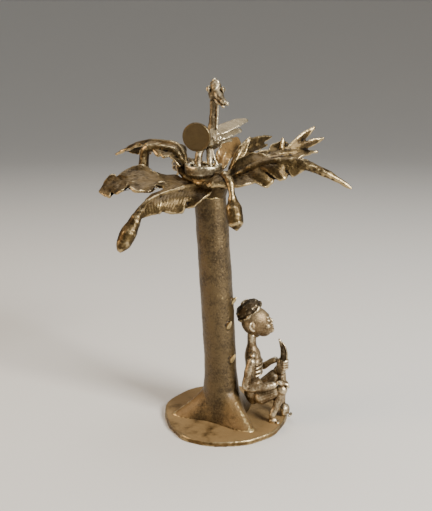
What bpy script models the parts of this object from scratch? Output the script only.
"""Cast-brass tree with ten fronds, a bird in a nest on its crown and a sitter at its foot.

Run with: blender --background --python part.py
+Z is up, the front is -Y, and the origin is the middle of the underside at the foot of the trunk.
Sizes are in millimetres and are turned to metres where a mesh is made.
"""

import math

import bmesh
import bpy
from mathutils import Matrix, Vector

MM = 0.001
SEAM = 0.35  # gap left between two castings that meet

# Base plate: an uneven round of thin metal
PLATE_RADIUS = 21.4
PLATE_THICKNESS = 1.5
PLATE_CENTRE = (1.2, 2.0)
PLATE_WAVES = ((2, 0.045, 178.0), (3, 0.022, 40.0), (5, 0.012, 110.0))  # lobes, share of radius, phase
PLATE_POINTS = 44
PLATE_EDGE_ROUND = 0.4

# Trunk: a leaning column on four roots
TRUNK_RADIUS = 5.0
TRUNK_HEIGHT = 72.0
TRUNK_BELLY = 0.25  # extra radius at mid height
TRUNK_LEAN = -3.8  # how far the top stands to the side
TRUNK_FLARE = 2.3  # extra radius all round at the foot
FLARE_HEIGHT = 20.0
TRUNK_SIDES = 40
TRUNK_LEVELS = 15
ROOTS = (  # azimuth in degrees, reach beyond the trunk, height where the ridge starts
    (180.0, 9.0, 10.0),
    (305.0, 9.2, 10.5),
    (48.0, 7.6, 9.5),
    (112.0, 7.4, 9.5),
)
ROOT_HALF_ANGLE = 52.0

# Spurs on the trunk's right side: name, height, azimuth, length
SPUR_RADIUS = 1.1
SPURS = (
    ("trunk_spur_upper", 39.4, 336.0, 1.6),
    ("trunk_spur_middle", 32.0, 308.0, 1.8),
    ("trunk_spur_lower", 20.6, 314.0, 2.0),
)

# Crown boss: the swelling on the trunk's top that the fronds grow from
BOSS_RADIUS = 6.0
BOSS_HEIGHT = 6.6
BOSS_TOP_RADIUS = 4.4

# Nest: a shallow dish on the boss
NEST_RADIUS = 5.9
NEST_FOOT_RADIUS = 4.6
NEST_HEIGHT = 3.2
NEST_WALL = 1.0
NEST_FLOOR = 1.3
NEST_OFFSET = (-2.0, -0.6)

# Fronds
FROND_STATIONS = 25
FROND_EDGE = 0.95  # thickness of a blade at its edge
FINGER_THICKNESS = 1.1
RIB_SHOULDER = 42.0  # degrees between a blade and the first rib point beside it

# Sitter, placed in front of the trunk's right side
SITTER_CLEARANCE = 4.9  # from the trunk's radius to the middle of the seat
SITTER_SIDE = -1.0
HEAD_RADII = (4.9, 3.9, 5.0)
CAP_RADIUS = 4.9
CAP_HEIGHT = 2.2
CAP_TILT = -42.0

# Bird, standing in the nest
BIRD_OFFSET = 0.8  # from the nest's middle
BIRD_DISC_RADIUS = 4.4
BIRD_DISC_THICKNESS = 1.3
BIRD_BODY_RADII = (3.6, 4.2, 3.0)
BIRD_LEG_RADIUS = 1.05
BIRD_NECK_RADIUS = 1.5
FEATHER_THICKNESS = 1.0

# Finishes of the brass: colour and roughness
AGED = ((0.32, 0.22, 0.10, 1.0), 0.45)
DUSTY = ((0.42, 0.33, 0.18, 1.0), 0.7)
WORN = ((0.60, 0.46, 0.22, 1.0), 0.3)
DARK = ((0.17, 0.12, 0.06, 1.0), 0.55)


# ---------------------------------------------------------------- helpers

def brass(name, finish):
    colour, roughness = finish
    material = bpy.data.materials.new(name)
    material.use_nodes = True
    shader = material.node_tree.nodes["Principled BSDF"]
    shader.inputs["Base Color"].default_value = colour
    shader.inputs["Metallic"].default_value = 1.0
    shader.inputs["Roughness"].default_value = roughness
    return material


def clear_scene():
    for obj in list(bpy.data.objects):
        bpy.data.objects.remove(obj)


def empty(name, location, parent=None):
    obj = bpy.data.objects.new(name, None)
    bpy.context.scene.collection.objects.link(obj)
    obj.location = Vector(location) * MM
    obj.parent = parent
    return obj


def piece(name, bm, finish, parent=None):
    """A named object from a bmesh in millimetres, smooth shaded, with its faces pointing out."""
    bmesh.ops.remove_doubles(bm, verts=bm.verts, dist=0.002)
    bmesh.ops.recalc_face_normals(bm, faces=bm.faces)
    bmesh.ops.scale(bm, vec=(MM, MM, MM), verts=bm.verts)
    mesh = bpy.data.meshes.new(name)
    bm.to_mesh(mesh)
    bm.free()
    mesh.shade_smooth()
    mesh.set_sharp_from_angle(angle=math.radians(50))
    mesh.materials.append(brass(f"{name}_brass", finish))
    obj = bpy.data.objects.new(name, mesh)
    bpy.context.scene.collection.objects.link(obj)
    obj.parent = parent
    return obj


def helper(obj):
    """Marks a shape that only cuts or joins others."""
    obj.hide_render = True
    obj.display_type = "WIRE"
    return obj


def combine(obj, other, operation):
    modifier = obj.modifiers.new(other.name, "BOOLEAN")
    modifier.operation = operation
    modifier.solver = "EXACT"
    modifier.object = helper(other)


def seat_on(obj, *neighbours):
    """Cuts obj back so that it keeps a seam to the main body of each neighbour."""
    for neighbour in neighbours:
        cutter = neighbour.copy()
        cutter.name = f"{obj.name}_seat_on_{neighbour.name}"
        cutter.modifiers.clear()
        grown = cutter.modifiers.new("seam", "DISPLACE")
        grown.strength = SEAM * MM
        grown.mid_level = 0.0
        bpy.context.scene.collection.objects.link(cutter)
        combine(obj, cutter, "DIFFERENCE")


def mix(a, b, share):
    return a + (b - a) * share


def profile(stops, s):
    """The value at s of a smooth curve through (place, value) stops."""
    for (s0, v0), (s1, v1) in zip(stops, stops[1:]):
        if s <= s1:
            t = max(0.0, (s - s0) / (s1 - s0))
            return mix(v0, v1, t * t * (3 - 2 * t))
    return stops[-1][1]


def smooth_path(points, count):
    """count evenly spaced points on a Catmull-Rom curve through the given ones."""
    knots = [Vector(p) for p in points]
    knots = [2 * knots[0] - knots[1], *knots, 2 * knots[-1] - knots[-2]]
    fine = []
    for a, b, c, d in zip(knots, knots[1:], knots[2:], knots[3:]):
        for step in range(12):
            t = step / 12
            square, cube = 2 * a - 5 * b + 4 * c - d, 3 * b - a - 3 * c + d
            fine.append(0.5 * (2 * b + (c - a) * t + square * t**2 + cube * t**3))
    fine.append(knots[-2])
    lengths = [0.0]
    for a, b in zip(fine, fine[1:]):
        lengths.append(lengths[-1] + (b - a).length)
    made, j = [], 0
    for i in range(count):
        want = lengths[-1] * i / (count - 1)
        while j < len(fine) - 2 and lengths[j + 1] < want:
            j += 1
        share = (want - lengths[j]) / (lengths[j + 1] - lengths[j])
        made.append(fine[j].lerp(fine[j + 1], share))
    return made


def frames(path, up=(0, 0, 1)):
    """(point, tangent, side, up) along a path, carried along it without twist."""
    found = []
    for i, point in enumerate(path):
        tangent = (path[min(i + 1, len(path) - 1)] - path[max(i - 1, 0)]).normalized()
        if not found:
            side = Vector(up).cross(tangent).normalized()
        else:
            side = found[-1][1].rotation_difference(tangent) @ found[-1][2]
        found.append((point, tangent, side, tangent.cross(side)))
    return found


def skin(bm, rings):
    """Joins closed rings of points, one after another, and caps both ends."""
    loops = [[bm.verts.new(p) for p in ring] for ring in rings]
    for a, b in zip(loops, loops[1:]):
        for i in range(len(a)):
            bm.faces.new((a[i - 1], a[i], b[i], b[i - 1]))
    bm.faces.new(reversed(loops[0]))
    bm.faces.new(loops[-1])


def limb(name, joints, finish, parent=None, flatten=1.0, stations=14, sides=10, up=(0, 0, 1)):
    """A round-ended tube through (x, y, z, radius) joints; flatten scales it along its up direction."""
    path = smooth_path([joint[:3] for joint in joints], stations)
    stops = [(i / (len(joints) - 1), joint[3]) for i, joint in enumerate(joints)]
    rings = []
    for i, (point, _, side, high) in enumerate(frames(path, up)):
        s = i / (stations - 1)
        end = min(s, 1 - s) * (stations - 1)
        radius = profile(stops, s) * (0.55 if end < 0.5 else 1.0)
        ring = []
        for k in range(sides):
            angle = math.tau * k / sides
            ring.append(point + radius * (math.cos(angle) * side + flatten * math.sin(angle) * high))
        rings.append(ring)
    bm = bmesh.new()
    skin(bm, rings)
    return piece(name, bm, finish, parent)


def lump(name, centre, radii, finish, parent=None, turn=(0, 0, 0), segments=14):
    """An ellipsoid, turned by degrees about X, Y and Z."""
    rotation = Matrix.Rotation(math.radians(turn[2]), 4, "Z") @ Matrix.Rotation(math.radians(turn[1]), 4, "Y")
    rotation = rotation @ Matrix.Rotation(math.radians(turn[0]), 4, "X")
    matrix = Matrix.Translation(centre) @ rotation @ Matrix.Diagonal((*radii, 1))
    bm = bmesh.new()
    bmesh.ops.create_uvsphere(bm, u_segments=segments, v_segments=segments * 2 // 3, radius=1, matrix=matrix)
    return piece(name, bm, finish, parent)


def turned(name, outline, finish, parent=None, steps=32):
    """A shape spun about Z from an (r, z) outline that starts and ends on the axis."""
    bm = bmesh.new()
    verts = [bm.verts.new((r, 0, z)) for r, z in outline]
    edges = [bm.edges.new(pair) for pair in zip(verts, verts[1:])]
    axis = dict(cent=(0, 0, 0), axis=(0, 0, 1))
    bmesh.ops.spin(bm, geom=verts + edges, **axis, angle=math.tau, steps=steps, use_merge=True)
    return piece(name, bm, finish, parent)


# ---------------------------------------------------------------- tree

def plate_edge(angle):
    """The plate's radius at an angle in radians."""
    waves = (share * math.cos(count * angle - math.radians(phase)) for count, share, phase in PLATE_WAVES)
    return PLATE_RADIUS * (1 + sum(waves))


def make_plate(finish):
    bm = bmesh.new()
    rings = []
    for z, inset in (
        (0, PLATE_EDGE_ROUND),
        (PLATE_EDGE_ROUND, 0),
        (PLATE_THICKNESS - PLATE_EDGE_ROUND, 0),
        (PLATE_THICKNESS, PLATE_EDGE_ROUND),
    ):
        ring = []
        for k in range(PLATE_POINTS):
            angle = math.tau * k / PLATE_POINTS
            radius = plate_edge(angle) - inset
            ring.append((radius * math.cos(angle), radius * math.sin(angle), z))
        rings.append(ring)
    skin(bm, rings)
    plate = piece("base_plate", bm, finish)
    plate.location = (PLATE_CENTRE[0] * MM, PLATE_CENTRE[1] * MM, 0)
    return plate


def trunk_centre(height):
    return Vector((TRUNK_LEAN * (height / TRUNK_HEIGHT) ** 1.35, 0, height))


def trunk_radius(height, angle):
    """The trunk's radius at a height above the plate, in the direction of angle in radians."""
    share = height / TRUNK_HEIGHT
    radius = TRUNK_RADIUS + TRUNK_BELLY * math.sin(math.pi * share)
    radius += TRUNK_FLARE * max(0.0, 1 - height / FLARE_HEIGHT) ** 2
    for azimuth, reach, top in ROOTS:
        off = abs(math.remainder(angle - math.radians(azimuth), math.tau)) / math.radians(ROOT_HALF_ANGLE)
        if off < 1 and height < top:
            radius += reach * (1 - height / top) ** 1.3 * (1 - off) ** 2.4
    return radius


def make_trunk(finish, parent):
    bm = bmesh.new()
    rings = []
    for i in range(TRUNK_LEVELS):
        height = TRUNK_HEIGHT * (i / (TRUNK_LEVELS - 1)) ** 1.7  # levels crowd at the roots
        centre = trunk_centre(height)
        ring = []
        for k in range(TRUNK_SIDES):
            angle = math.tau * k / TRUNK_SIDES
            radius = trunk_radius(height, angle)
            ring.append(centre + radius * Vector((math.cos(angle), math.sin(angle), 0)))
        rings.append(ring)
    skin(bm, rings)
    return piece("trunk", bm, finish, parent)


def make_spur(name, height, azimuth, length, trunk, finish):
    angle = math.radians(azimuth)
    outward = Vector((math.cos(angle), math.sin(angle), 0))
    root = trunk_centre(height) + (trunk_radius(height, angle) - SPUR_RADIUS) * outward
    joints = []
    for out, rise, radius in ((0, 0, 1.0), (0.5, 0.35, 0.95), (0.72, 0.9, 0.65), (0.8, 1.4, 0.3)):
        point = root + (out * (length + SPUR_RADIUS)) * outward + Vector((0, 0, rise * length))
        joints.append((*point, radius * SPUR_RADIUS))
    spur = limb(name, joints, finish, trunk.parent, stations=9, sides=8)
    seat_on(spur, trunk)
    return spur


def make_boss(finish, crown):
    outline = (
        (0, SEAM),
        (BOSS_RADIUS * 0.86, SEAM),
        (BOSS_RADIUS, SEAM + 1.2),
        (BOSS_RADIUS * 0.98, BOSS_HEIGHT * 0.55),
        (BOSS_RADIUS * 0.88, BOSS_HEIGHT * 0.85),
        (BOSS_TOP_RADIUS, BOSS_HEIGHT),
        (0, BOSS_HEIGHT),
    )
    return turned("crown_boss", outline, finish, crown)


def make_nest(finish, crown):
    inner = NEST_RADIUS - NEST_WALL
    outline = (
        (0, 0),
        (NEST_FOOT_RADIUS, 0),
        (NEST_RADIUS - 0.5, NEST_HEIGHT * 0.5),
        (NEST_RADIUS, NEST_HEIGHT - 0.3),
        (NEST_RADIUS - NEST_WALL * 0.5, NEST_HEIGHT),
        (inner, NEST_HEIGHT - 0.3),
        (inner - 0.2, NEST_FLOOR + 0.5),
        (inner - 0.7, NEST_FLOOR),
        (0, NEST_FLOOR),
    )
    nest = turned("nest_dish", outline, finish, crown)
    nest.location = (NEST_OFFSET[0] * MM, NEST_OFFSET[1] * MM, (BOSS_HEIGHT + SEAM) * MM)
    return nest


# ---------------------------------------------------------------- fronds

# Each frond: azimuth in degrees; path as (out, aside, up) from the middle of the trunk's top; rib radii
# as (share of length, radius); and, for the blades to its left and right, seen looking outwards: half-width,
# lift in degrees and the share of the length where it ends. Then the number of lobes, how deep the notches
# cut, where the blades start, and how far the lobes lean towards the tip. Fingers are flat pointed leaflets
# of (root, tip, half-width) that fan out from the rib.
FRONDS = {
    "frond_right": dict(
        azimuth=-9.0,
        path=(
            (3, 0, 3), (8, 0, 6.6), (15, 0, 10.2), (21.5, 0, 11.3),
            (27.5, 0, 10.8), (33.5, 0, 8.9), (38.5, 0, 6.4), (43, 0, 3.6),
        ),
        rib=((0, 1.5), (0.3, 1.45), (0.6, 1.7), (0.85, 1.25), (1, 0.45)),
        blade=(4.4, 5.6), lift=(34, -44), end=(0.44, 0.68), lobes=4, cut=0.4, start=0.1, lean=0.4,
    ),
    "frond_front": dict(
        azimuth=298.0,
        path=(
            (3, 0, 5.2), (6.5, 0, 7.3), (10.3, 0, 7.4), (13.2, 0, 4.9),
            (14.4, 0, 0.8), (15.6, 0, -3.8), (16.8, 0, -7.6),
        ),
        rib=((0, 1.4), (0.35, 1.5), (0.6, 1.2), (0.8, 2.3), (0.92, 2.2), (1, 0.9)),
        blade=(3.4, 4.2), lift=(-12, 8), end=(0.55, 0.55), lobes=3, cut=0.35, start=0.12, lean=0.3,
    ),
    "frond_front_left": dict(
        azimuth=213.0,
        path=(
            (3, 0, 2.1), (8, 0, 2.3), (13, 0, 2.1), (18, 0, 1.6),
            (21.8, 0, 0.4), (24.6, 0, -2.6), (27.8, 0, -7.4), (31.6, 0, -13.2),
        ),
        rib=((0, 1.4), (0.4, 1.4), (0.65, 1.5), (0.84, 2.4), (0.94, 2.4), (1, 1.3)),
        blade=(6.2, 1.6), lift=(-42, 10), end=(0.66, 0.6), lobes=2, cut=0.26, start=0.14, lean=0.3,
    ),
    "frond_left": dict(
        azimuth=185.0,
        path=(
            (3, 0, 3.3), (7.5, 0, 4.0), (13, 0, 4.8), (19, 0, 5.7),
            (24, 0, 5.6), (29, 0, 4.2), (34, 0, 1.8),
        ),
        rib=((0, 1.4), (0.4, 1.1), (0.75, 0.9), (1, 0.45)),
        blade=(6.4, 4.6), lift=(-16, 34), end=(0.97, 0.97), lobes=3, cut=0.4, start=0.2, lean=0.4,
    ),
    "frond_left_hanging": dict(
        azimuth=167.0,
        path=(
            (3, 0, 5.2), (8.4, 0, 7.4), (9.8, 0, 11.6), (12.4, 0, 14.1), (17.4, 0, 14.8),
            (20.2, 0, 14.2), (21.2, 0, 11.2), (21.4, 0, 7.4), (21.8, 0, 3.4),
        ),
        rib=((0, 1.4), (0.4, 1.2), (0.6, 1.2), (0.72, 1.45), (0.93, 1.6), (1, 1.1)),
        blade=(2.4, 0.3), lift=(-30, 10), end=(0.6, 0.6), lobes=3, cut=0.35, start=0.34, lean=0.3,
    ),
    "frond_back_left": dict(
        azimuth=146.0,
        path=(
            (3, 0, 2.6), (8.2, 0, 5.6), (10, 0, 11.2), (12.4, 0, 14.8), (17.4, 0, 15.8),
            (23.4, 0, 15.8), (27.6, 0, 15), (32, 0, 13.4), (38, 0, 10.7),
        ),
        rib=((0, 1.4), (0.4, 1.2), (0.75, 1.0), (1, 0.45)),
        blade=(1.2, 4.0), lift=(30, -26), end=(0.88, 0.88), lobes=4, cut=0.5, start=0.42, lean=0.4,
    ),
    "frond_back": dict(
        azimuth=112.0,
        path=((3, 0, 1.9), (10, 0, 5.6), (18, 0, 9.2), (26, 0, 7), (31, 0, 2.6)),
        rib=((0, 1.4), (0.5, 1.2), (0.8, 1.1), (1, 0.5)),
        blade=(4.6, 4.6), lift=(6, 6), end=(0.88, 0.88), lobes=4, cut=0.42, start=0.2, lean=0.4,
    ),
    "frond_back_upright": dict(
        azimuth=68.0,
        path=((3, 0, 4.6), (7.4, 0, 8), (9.8, 0, 11.6), (13.6, 0, 13.8), (18, 0, 14.8), (22.4, 0, 15.6)),
        rib=((0, 1.4), (0.6, 1.0), (1, 0.6)),
        blade=(2.0, 2.2), lift=(60, -60), end=(1.06, 1.06), lobes=1, cut=0.1, start=0.5, lean=0.1,
    ),
    "frond_back_right_far": dict(
        azimuth=46.0,
        path=((3, 0, 1.9), (8.5, 0, 5.6), (12.2, 0, 11.4), (15.2, 0, 14.6), (18.4, 0, 17.1)),
        rib=((0, 1.4), (0.5, 1.1), (1, 0.6)),
        blade=(0.8, 1.0), lift=(20, -60), end=(0.95, 0.95), lobes=2, cut=0.2, start=0.4, lean=0.2,
        fingers=(
            ((15.6, 0, 15.0), (27.8, -0.8, 16.7), 1.7),
            ((14.2, 0, 13.4), (25.8, -0.8, 14.7), 1.6),
            ((12.4, 0, 11.6), (20.4, -0.6, 12.2), 1.4),
        ),
    ),
    "frond_back_right": dict(
        azimuth=25.0,
        path=((3, 0, 4.6), (9, 0, 7.6), (17, 0, 10.2), (22.8, 0, 11.8), (28, 0, 12.3), (38.6, 0, 12.2)),
        rib=((0, 1.4), (0.5, 1.3), (0.8, 1.2), (1, 0.5)),
        blade=(2.6, 2.4), lift=(46, -30), end=(0.9, 0.9), lobes=3, cut=0.45, start=0.3, lean=0.5,
        fingers=(
            ((26.4, 0, 12.6), (37.5, 1.2, 20.0), 1.6),
            ((27.6, 0, 12.6), (40.7, 0.4, 16.5), 1.5),
            ((24.6, 0, 11.6), (37.0, -1.4, 8.4), 1.5),
            ((25.4, 0, 12.2), (25.6, 1.0, 16.8), 1.2),
        ),
    ),
}


def notch(place, lobes):
    """0 at the tip of a lobe and 1 at the bottom of a notch; place runs from 0 to 1 along the blade."""
    return abs(math.cos(math.pi * lobes * place)) ** 2.2


def frond_ring(frond, s, point, tangent, side, high):
    """The cross-section of a frond: a round rib with a blade on each side."""
    rib = profile(frond["rib"], s)
    half_edge = min(FROND_EDGE / 2, rib * 0.5)

    def direction(angle):
        return math.cos(angle) * side + math.sin(angle) * high

    edges, turns = [], []
    for half, turn in ((0, 1), (1, -1)):
        place = min(1.0, max(0.0, (s - frond["start"]) / (frond["end"][half] - frond["start"])))
        spread = math.sin(math.pi * place**0.85) ** 0.7 if 0 < place < 1 else 0.0
        lift = math.radians(frond["lift"][half]) * min(1.0, 1.6 * spread)
        angle = lift if half == 0 else math.pi - lift
        reach = rib + frond["blade"][half] * spread * (1 - frond["cut"] * notch(place, frond["lobes"]))
        edge = point + reach * direction(angle) + frond["lean"] * (reach - rib) * tangent
        across = half_edge * direction(angle + turn * math.pi / 2)
        edges.append((edge + across, edge - across))
        turns.append(angle)
    left, right = turns
    shoulder = math.radians(RIB_SHOULDER)
    top = [point + rib * direction(mix(left + shoulder, right - shoulder, t)) for t in (0, 0.5, 1)]
    low = [point + rib * direction(mix(right + shoulder, left + math.tau - shoulder, t)) for t in (0, 0.5, 1)]
    return [edges[0][0], *top, edges[1][0], edges[1][1], *low, edges[0][1]]


def make_finger(name, root, tip, width, finish, crown):
    """A flat pointed leaflet that stands on edge."""
    root, tip = Vector(root), Vector(tip)
    sizes = ((0, 0.8), (0.35, 1), (0.7, 0.8), (1, 0.35))
    joints = [(*root.lerp(tip, share), width * size) for share, size in sizes]
    return limb(name, joints, finish, crown, FINGER_THICKNESS / (2 * width), 8, 8, up=(0, 1, 0))


def make_frond(name, frond, finish, crown):
    path = smooth_path(frond["path"], FROND_STATIONS)
    rings = []
    for i, (point, tangent, side, high) in enumerate(frames(path)):
        rings.append(frond_ring(frond, i / (FROND_STATIONS - 1), point, tangent, side, high))
    bm = bmesh.new()
    skin(bm, rings)
    obj = piece(name, bm, finish, crown)
    obj.rotation_euler.z = math.radians(frond["azimuth"])
    for k, (root, tip, width) in enumerate(frond.get("fingers", ())):
        finger = make_finger(f"{name}_finger_{k}", root, tip, width, finish, crown)
        finger.rotation_euler.z = obj.rotation_euler.z
        combine(obj, finger, "UNION")
    return obj


def make_fronds(finish, crown, boss, nest):
    for name, frond in FRONDS.items():
        obj = make_frond(name, frond, finish, crown)
        seat_on(obj, boss, nest)


# ---------------------------------------------------------------- bird

def make_wing(name, feathers, finish, parent, body):
    """Flat feathers fanned from one root, joined into one wing."""
    blades = []
    for i, joints in enumerate(feathers):
        blades.append(limb(f"{name}_feather_{i}" if i else name, joints, finish, parent, 0.42, 9, 8))
    wing = blades[0]
    for blade in blades[1:]:
        combine(wing, blade, "UNION")
    seat_on(wing, body)
    return wing


def make_bird(finish, polished, nest):
    stand = empty("bird_stand", (BIRD_OFFSET, 0, NEST_FLOOR), nest)
    body = lump("bird_body", (1.7, 2.3, 9.5), BIRD_BODY_RADII, finish, stand, (14, 0, -8), 16)

    disc_outline = (
        (0, 0),
        (BIRD_DISC_RADIUS - 0.4, 0),
        (BIRD_DISC_RADIUS, 0.4),
        (BIRD_DISC_RADIUS, BIRD_DISC_THICKNESS - 0.3),
        (BIRD_DISC_RADIUS - 0.3, BIRD_DISC_THICKNESS),
        (0, BIRD_DISC_THICKNESS),
    )
    disc = turned("bird_tail_disc", disc_outline, polished, stand)
    disc.location = Vector((-2.6, -2.5, 10.4)) * MM
    disc.rotation_euler = (math.radians(83), 0, math.radians(-15))
    seat_on(body, disc)

    leg_joints = {
        "bird_leg_left": (
            (-2.5, -1.8, SEAM, 1.2), (-2.4, -1.8, 2.6, 1.0), (-2.0, -0.9, 5.6, 1.1), (-0.8, 0.8, 8.0, 1.3),
        ),
        "bird_leg_right": (
            (1.2, -1.4, SEAM, 1.2), (1.1, -1.2, 2.8, 0.9), (1.0, 0.2, 5.8, 1.0), (1.2, 1.6, 8.0, 1.2),
        ),
    }
    legs = []
    for name, joints in leg_joints.items():
        scaled = [(x, y, z, radius * BIRD_LEG_RADIUS) for x, y, z, radius in joints]
        legs.append(limb(name, scaled, finish, stand, stations=8, sides=8, up=(0, 1, 0)))
    strand = ((3.4, -1.2, SEAM, 0.8), (2.6, -0.8, 2.8, 0.6), (1.7, 0.0, 5.6, 0.7), (1.2, 1.0, 7.6, 0.9))
    second = limb("bird_leg_strand", strand, finish, stand, stations=8, sides=8, up=(0, 1, 0))
    combine(legs[1], second, "UNION")
    for leg in legs:
        seat_on(leg, body, disc, nest)

    neck_joints = (
        (1.9, 2.6, 10.4, BIRD_NECK_RADIUS * 1.35),
        (2.2, 3.0, 14.0, BIRD_NECK_RADIUS * 1.1),
        (2.4, 3.0, 18.0, BIRD_NECK_RADIUS * 0.95),
        (2.6, 2.8, 22.4, BIRD_NECK_RADIUS),
    )
    neck = limb("bird_neck", neck_joints, finish, stand, stations=10, up=(0, 1, 0))
    seat_on(neck, body)

    head = lump("bird_head", (2.8, 2.4, 24.1), (2.2, 2.3, 2.9), finish, stand, (18, 10, 0))
    for k, (x, y, z) in enumerate(((0.6, 1.8, 25.0), (5.0, 1.6, 24.6))):
        eye = lump(f"bird_eye_{k}", (x, y, z), (0.85, 0.85, 0.85), finish, stand, segments=10)
        combine(head, eye, "UNION")
    seat_on(head, neck)
    beak_joints = (
        (3.2, 1.9, 23.8, 1.1), (4.2, 0.4, 22.0, 1.4), (5.3, -0.9, 20.2, 1.0), (6.3, -1.5, 19.4, 0.5),
    )
    beak = limb("bird_beak", beak_joints, finish, stand, 0.8, 9)
    seat_on(beak, head, neck)
    crest_joints = (
        (2.2, 3.6, 25.4, 0.9), (2.4, 3.1, 26.6, 1.0), (3.0, 2.2, 27.0, 0.9), (3.6, 1.2, 26.6, 0.6),
    )
    crest = limb("bird_crest", crest_joints, finish, stand, stations=8, sides=8)
    seat_on(crest, head)

    feathers = (
        ((1.6, 3.0, 9.8, 1.7), (6.0, 6.4, 12.0, 1.6), (10.0, 10.0, 13.6, 1.4), (13.0, 12.6, 14.4, 0.8)),
        ((1.6, 3.0, 9.2, 1.6), (5.6, 6.0, 10.2, 1.5), (8.6, 8.8, 11.0, 1.2), (11.0, 10.8, 11.6, 0.7)),
        ((1.6, 3.0, 9.0, 1.6), (4.8, 5.4, 9.6, 1.5), (6.8, 7.2, 9.5, 1.2), (8.4, 8.6, 9.2, 0.6)),
    )
    make_wing("bird_wing", feathers, finish, stand, body)


# ---------------------------------------------------------------- sitter

def make_sitter(finish, dark, plate_top):
    seat = empty("sitter_seat", (TRUNK_RADIUS + SITTER_CLEARANCE, SITTER_SIDE, PLATE_THICKNESS), plate_top)

    torso_joints = (
        (0.1, 0, 4.4, 1.6),
        (0, 0, 7.0, 2.9),
        (-0.3, 0.4, 12.5, 2.3),
        (-0.1, 0.8, 18.0, 2.7),
        (-0.2, 1.0, 21.8, 2.8),
        (-0.6, 1.0, 24.2, 1.6),
        (-0.6, 1.0, 28.4, 1.6),
    )
    torso = limb("sitter_torso", torso_joints, finish, seat, 1.3, 18, 12, up=(0, 1, 0))

    head_centre = (0.6, 1.0, 32.6)
    head = lump("sitter_head", head_centre, HEAD_RADII, finish, seat, (0, -14, 0), 18)
    features = {
        "sitter_jaw": ((3.6, 1.0, 29.2), (2.8, 2.4, 2.4)),
        "sitter_nose": ((5.4, 1.0, 32.2), (1.3, 0.9, 1.3)),
        "sitter_ear_near": ((-1.6, -2.5, 31.4), (1.3, 0.9, 2.0)),
        "sitter_ear_far": ((-1.6, 4.5, 31.4), (1.3, 0.9, 2.0)),
    }
    for name, (centre, radii) in features.items():
        combine(head, lump(name, centre, radii, finish, seat, (0, -14, 0), 10), "UNION")
    seat_on(head, torso)

    cap_outline = (
        (0, -1.4),
        (CAP_RADIUS - 0.5, -1.4),
        (CAP_RADIUS, -0.8),
        (CAP_RADIUS * 0.9, 0.2),
        (CAP_RADIUS * 0.82, CAP_HEIGHT * 0.5),
        (CAP_RADIUS * 0.5, CAP_HEIGHT * 0.88),
        (0, CAP_HEIGHT),
    )
    cap = turned("sitter_cap", cap_outline, dark, seat, 24)
    cap.location = Vector((-2.1, 1.0, 36.3)) * MM
    cap.rotation_euler.y = math.radians(CAP_TILT)
    seat_on(cap, head)

    leg_joints = {
        "sitter_leg_right": (
            ((0.6, -2.9, 7.4, 2.7), (4.6, -3.3, 9.2, 2.4), (8.8, -3.9, 11.0, 1.85)),
            ((8.9, -3.9, 11.2, 1.7), (7.6, -4.5, 6.6, 1.5), (6.1, -5.1, 3.2, 1.3), (6.0, -5.3, 1.7, 1.2)),
            ((5.0, -5.2, 1.65, 1.1), (6.8, -5.5, 1.55, 1.2), (8.4, -5.8, 1.45, 1.0)),
        ),
        "sitter_leg_left": (
            ((0.8, 3.2, 7.4, 2.6), (4.8, 3.4, 10.8, 2.4), (8.6, 3.2, 14.8, 2.1)),
            ((8.9, 3.2, 15.0, 2.0), (9.7, 2.6, 10.2, 1.6), (9.4, 1.8, 5.6, 1.5), (9.4, 1.6, 3.0, 1.7)),
            ((8.2, 1.8, 2.4, 1.8), (9.8, 1.4, 2.5, 2.1), (11.6, 0.8, 2.2, 1.7)),
        ),
    }
    legs = []
    for name, (thigh, shin, foot) in leg_joints.items():
        leg = limb(name, thigh, finish, seat, stations=10, up=(0, 1, 0))
        for part, joints in (("shin", shin), ("foot", foot)):
            combine(leg, limb(f"{name}_{part}", joints, finish, seat, stations=10, up=(0, 1, 0)), "UNION")
        seat_on(leg, torso)
        legs.append(leg)

    arm_right_joints = (
        (-0.7, -3.0, 20.8, 1.7),
        (-1.9, -4.4, 16.4, 1.4),
        (-2.3, -5.2, 12.4, 1.4),
        (2.8, -5.4, 12.6, 1.35),
        (7.4, -4.7, 13.4, 1.15),
        (9.8, -4.2, 14.0, 1.5),
        (11.0, -4.0, 13.2, 0.8),
    )
    arm_right = limb("sitter_arm_right", arm_right_joints, finish, seat, stations=20, up=(0, 1, 0))
    seat_on(arm_right, torso, legs[0])

    arm_left_joints = (
        (-0.5, 4.6, 20.8, 1.6),
        (1.6, 6.3, 17.2, 1.35),
        (3.4, 6.8, 15.0, 1.3),
        (5.8, 4.8, 17.2, 1.2),
        (7.8, 2.8, 19.6, 1.4),
        (9.0, 1.4, 19.8, 1.2),
    )
    arm_left = limb("sitter_arm_left", arm_left_joints, finish, seat, stations=18, up=(0, 1, 0))
    seat_on(arm_left, torso, legs[1])

    horn_joints = (
        (9.3, 0.6, 18.6, 1.2), (9.7, 0.6, 21.6, 1.15), (9.3, 0.8, 24.4, 0.85), (8.2, 0.9, 26.9, 0.4),
    )
    horn = limb("sitter_horn", horn_joints, dark, seat, stations=10, sides=8, up=(0, 1, 0))
    seat_on(horn, arm_left, legs[1])


# ---------------------------------------------------------------- build

def main():
    clear_scene()
    make_plate(DUSTY)
    plate_top = empty("plate_top", (0, 0, 0))
    foot = empty("trunk_foot", (0, 0, PLATE_THICKNESS + SEAM), plate_top)
    trunk = make_trunk(AGED, foot)
    for name, height, azimuth, length in SPURS:
        make_spur(name, height, azimuth, length, trunk, WORN)

    crown = empty("crown", trunk_centre(TRUNK_HEIGHT), foot)
    boss = make_boss(AGED, crown)
    nest = make_nest(AGED, crown)
    make_fronds(AGED, crown, boss, nest)
    make_bird(AGED, WORN, nest)
    make_sitter(AGED, DARK, plate_top)


main()
